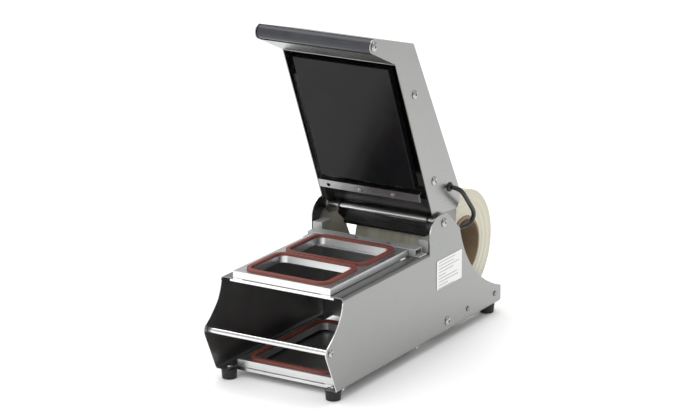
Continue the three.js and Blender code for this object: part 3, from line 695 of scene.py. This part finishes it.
def makeBushes():
    for word, side in sides.items():
        node = "hinge_bush_" + word
        low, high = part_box(node)
        half = (high.x - low.x) / 2 / mm
        bore, rim = bushBore, (high.z - low.z) / 2 / mm
        profile = [
            [bore, -half], [rim - 0.5, -half], [rim, 0.5 - half], [rim, half - 0.5], [rim - 0.5, half],
            [bore, half],
        ]
        piece = turned(node + "Turned", profile, 40, hollow=True)
        standAt(piece, middle(node).x, middle(node).y, middle(node).z, 1)
        dress(smooth(piece), node, guideSteelAndEarShade)


makeBushes()
print("bars, rollers, screws and feet made")


film = {"rings": 7, "wander": (0.5, -0.1, 0.3, 0.0, 0.4, 0.1, 0.35), "core": 45.3, "round": 0.8}
core = {"bore": 41.0, "wall": 45.0}


def makeFilmRoll():
    low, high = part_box("film_roll")
    rim, half = (high.z - low.z) / 2 / mm, (high.x - low.x) / 2 / mm
    step = (rim - film["round"] - film["core"]) / film["rings"]
    face = [[film["core"], half - 0.8]]
    for i, wander in enumerate(film["wander"]):
        depth = half - 0.6 + wander * 0.6
        face.append([film["core"] + step * i + 0.3, depth])
        face.append([film["core"] + step * (i + 1) - 0.3, depth])
    face += [[rim - film["round"], half], [rim, half - film["round"]]]
    profile = [[r, -h] for r, h in face] + [[r, h] for r, h in reversed(face)]
    piece = turned("filmRollWound", profile, 128, hollow=True)
    centre = middle("film_roll")
    standAt(piece, 0, centre.y, centre.z, 1)
    dress(smooth(piece, 30), "film_roll", filmStock)
    bore, wall, reach = core["bore"], core["wall"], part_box("film_core")[1].x / mm
    profile = [
        [bore, -reach], [wall - 0.5, -reach], [wall, 0.5 - reach], [wall, reach - 0.5], [wall - 0.5, reach],
        [bore, reach],
    ]
    piece = turned("filmCoreWound", profile, 96, hollow=True)
    standAt(piece, 0, centre.y, centre.z, 1)
    dress(smooth(piece), "film_core", coreBoard)


makeFilmRoll()
print("film roll made")


def hexNut(name, radius, low, high):
    deselectAll()
    bpy.ops.mesh.primitive_cylinder_add(
        vertices=6, radius=radius * mm, depth=(high - low) * mm, location=(0, 0, (low + high) / 2 * mm)
    )
    nut = bpy.context.object
    nut.name = name
    return bevelEdges(settle(nut), 0.4 * mm, 2)


def makeGlands():
    centre = middle("lid_gland")
    low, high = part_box("lid_gland")
    tall = (high.x - low.x) / mm
    profile = [[6.9, 0], [7, 0.3], [6.8, 0.9], [5.9, 1.5], [5.2, 2.4], [4.6, tall], [4.0, tall]]
    ring = turned("lidGlandRing", profile, 40)
    nut = hexNut("lidGlandNut", 6.9, 0.2, 1.6)
    gland = smooth(joined("lidGlandMoulded", ring, nut), 34)
    standAt(gland, low.x, centre.y, centre.z, 1)
    dress(gland, "lid_gland", fittingPlastic)

    centre = middle("cable_grommet")
    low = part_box("cable_grommet")[0]
    profile = [[6.2, 0], [6.5, 0.3], [6.5, 1.7], [6.0, 2], [5.1, 2.3], [4.7, 3.2], [4.4, 4], [3.6, 4]]
    grommet = turned("cableGrommetMoulded", profile, 36)
    standAt(grommet, centre.x, centre.y, low.z)
    dress(smooth(grommet), "cable_grommet", footRubber)

    centre = middle("mains_gland")
    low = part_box("mains_gland")[0]
    profile = [[8, 5], [7.2, 5.4], [7, 6.4], [7, 11], [6.2, 12.8], [4.6, 14], [3.6, 14]]
    body = turned("mainsGlandBody", profile, 36)
    nut = hexNut("mainsGlandNut", 9.0, 0, 5)
    gland = smooth(joined("mainsGlandMoulded", body, nut), 34)
    gland.rotation_euler = (-math.pi / 2, 0, 0)
    gland.location = (centre.x, low.y, centre.z)
    settle(gland)
    dress(gland, "mains_gland", fittingPlastic)


makeGlands()


panel = {
    "normal": Vector(joints["knob_turn"]["axis"]),
    "knob": Vector(joints["knob_turn"]["pos_m"]),
    "rocker": Vector(joints["rocker_press"]["pos_m"]),
}
knob = {"skirt": 15.0, "grip": 11.5, "height": 15.5, "flutes": 12, "ticks": 10, "scale": 18.5, "sweep": 270}


def onPanel(piece, at):
    tilt = math.atan2(-panel["normal"].y, panel["normal"].z)
    piece.rotation_euler = (tilt, 0, 0)
    piece.location = at
    return settle(piece)


def makeKnob():
    skirt, grip, height = knob["skirt"], knob["grip"], knob["height"]
    profile = [
        [3, -6], [3, 0.3], [skirt - 0.3, 0.3], [skirt, 0.6], [skirt, 2.2], [skirt - 0.5, 2.6], [grip + 1, 4],
        [grip, 5], [grip - 0.6, height - 1.2], [grip - 1.2, height - 0.3], [grip - 2.4, height],
    ]
    segments = knob["flutes"] * 4
    piece = turned("thermostatKnobMoulded", profile, segments)

    def isFlute(face):
        bearing = math.degrees(math.atan2(face.center.y, face.center.x)) % 360
        wedge = int(bearing / 360 * segments)
        upright = abs(face.normal.z) < 0.2 and 6 * mm < face.center.z < (height - 2) * mm
        return upright and wedge % 4 in (0, 1)

    pushFaces(piece, isFlute, 0.25 * mm, -0.7 * mm)
    smooth(piece, 30)
    deselectAll()
    bpy.ops.mesh.primitive_cube_add(
        size=1, location=(0, 7.2 * mm, (height + 0.1) * mm), scale=(1.4 * mm, 6 * mm, 0.5 * mm)
    )
    pointer = bevelEdges(settle(bpy.context.object), 0.12 * mm, 2)
    pointer.name = "knobPointer"
    onPanel(piece, panel["knob"])
    dress(piece, "thermostat_knob", fittingPlastic)
    addTo(onPanel(pointer, panel["knob"]), "knob", dialWhite)


def makeScale():
    ticks = []
    for i in range(knob["ticks"] + 1):
        bearing = math.radians(90 - knob["sweep"] * i / knob["ticks"])
        long = 3.4 if i % 5 == 0 else 2.2
        reach = (knob["scale"] + long / 2) * mm
        deselectAll()
        at = (reach * math.cos(bearing), reach * math.sin(bearing), 0.12 * mm)
        bpy.ops.mesh.primitive_cube_add(size=1, location=at)
        tick = bpy.context.object
        tick.scale = (long * mm, 0.7 * mm, 0.12 * mm)
        tick.rotation_euler = (0, 0, bearing)
        ticks.append(settle(tick))
    marks = bevelEdges(joined("dialScale", *ticks), 0.03 * mm, 1)
    addTo(onPanel(marks, panel["knob"]), "lid", fittingPlastic)


def makeBezel():
    deselectAll()
    bpy.ops.mesh.primitive_cube_add(size=1, location=(0, 0, 0.9 * mm), scale=(21 * mm, 22 * mm, 1.4 * mm))
    bezel = bpy.context.object
    bezel.name = "rockerBezel"
    settle(bezel)
    deselectAll()
    bpy.ops.mesh.primitive_cube_add(size=1, scale=(14 * mm, 15.6 * mm, 8 * mm))
    opening = settle(bpy.context.object)
    applyModifier(bezel, "BOOLEAN", object=opening, operation="DIFFERENCE", solver="EXACT")
    bpy.data.objects.remove(opening)
    bevelEdges(bezel, 0.4 * mm, 3)
    addTo(onPanel(smooth(bezel), panel["rocker"]), "lid", fittingPlastic)


makeKnob()
makeScale()
makeBezel()
print("controls made")


spring = {"radius": 3.6, "wire": 0.45, "coils": 6, "low": -21.2, "high": -2.4, "perCoil": 14}
clampScrew = {"acrossAt": (-14, 40), "y": -55.5, "head": -25.9, "top": 22.2, "springSeat": 9}
hinge = Vector(joints["lid_hinge"]["pos_m"])


def fromClosedLid(piece, x, y, z):  # millimetres from the hinge axis, as the closed lid has them
    opened = Matrix.Translation(hinge) @ Matrix.Rotation(-lidTilt, 4, "X")
    piece.matrix_world = opened @ Matrix.Translation(Vector((x, y, z)) * mm)
    return settle(piece)


def makeClampScrews():
    for i, x in enumerate(clampScrew["acrossAt"]):
        node = f"clamp_screw_{i + 1}"
        top = clampScrew["top"]
        profile = [[2.6, 0], [3.2, 0.3], [3.4, 0.8], [3.4, 1.6], [2, 1.6], [2, top - 0.3], [1.7, top]]
        piece = turned(node + "Head", profile, 32)
        selectFaces(piece, lambda face: face.normal.z < -0.99 and face.center.z < 0.1 * mm)
        bpy.ops.mesh.inset(thickness=0.9 * mm)
        bpy.ops.mesh.extrude_region_move(TRANSFORM_OT_translate={"value": (0, 0, 0.8 * mm)})
        leaveEdit()
        fromClosedLid(smooth(piece, 34), x, clampScrew["y"], clampScrew["head"])
        dress(piece, node, screwSteel)
        steps = spring["coils"] * spring["perCoil"]
        rise = (spring["high"] - spring["low"] - 3) / steps
        line = []
        for k in range(steps + 1):
            angle = 2 * math.pi * k / spring["perCoil"]
            across, along = spring["radius"] * math.cos(angle), spring["radius"] * math.sin(angle)
            line.append(Vector((across, along, rise * k)) * mm)
        coil = smooth(tubeAlong(f"clampSpring{i + 1}", line, spring["wire"] * mm, 3), 60)
        fromClosedLid(coil, x, clampScrew["y"], spring["low"] + 0.6)
        addTo(coil, "lid", springSteel)
        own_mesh(coil)


makeClampScrews()
print("clamp screws and springs made")


studio = {
    "floor": 30.0,
    "sky": 0.86,
    "mirroredSky": 0.5,
    "lamps": {  # place, size, watts
        "topSoftbox": ((-0.3, 0.3, 2.8), 3.0, 60),
        "leftSoftbox": ((-2.4, -1.4, 1.5), 1.6, 14),
        "frontSoftbox": ((-0.6, -2.8, 1.2), 1.4, 12),
    },
}


# The sky lights the floor evenly, and polished metal mirrors a dimmer one.
def makeSky():
    world = bpy.data.worlds.new("studioSky")
    world.use_nodes = True
    tree = world.node_tree
    sky = next(node for node in tree.nodes if node.type == "BACKGROUND")
    sky.inputs["Color"].default_value = (1, 1, 1, 1)
    mirrored = addNode(tree, "ShaderNodeLightPath").outputs["Is Glossy Ray"]
    strength = ranged(tree, mirrored, studio["sky"], studio["mirroredSky"], (0, 1))
    tree.links.new(strength, sky.inputs["Strength"])
    scene.world = world


def makeStudio():
    deselectAll()
    bpy.ops.mesh.primitive_plane_add(size=studio["floor"])
    floor = bpy.context.object
    floor.name = "studioFloor"
    material, tree, shader, place = startMaterial("paleFloor", Roughness=0.9, Specular_IOR_Level=0.15)
    tone = blended(tree, grain(tree, place, 1.5), (0.90, 0.90, 0.90), (0.915, 0.915, 0.91))
    tree.links.new(tone, shader.inputs["Base Color"])
    floor.data.materials.append(material)
    makeSky()
    for name, (place, size, watts) in studio["lamps"].items():
        deselectAll()
        bpy.ops.object.light_add(type="AREA", location=place)
        lamp = bpy.context.object
        lamp.name = name
        lamp.data.shape = "SQUARE"
        lamp.data.size = size
        lamp.data.energy = watts
        lamp.rotation_euler = (Vector((0, 0, 0.2)) - Vector(place)).to_track_quat("-Z", "Y").to_euler()
    scene.view_settings.view_transform = "Standard"


makeStudio()
deselectAll()
print("studio ready")
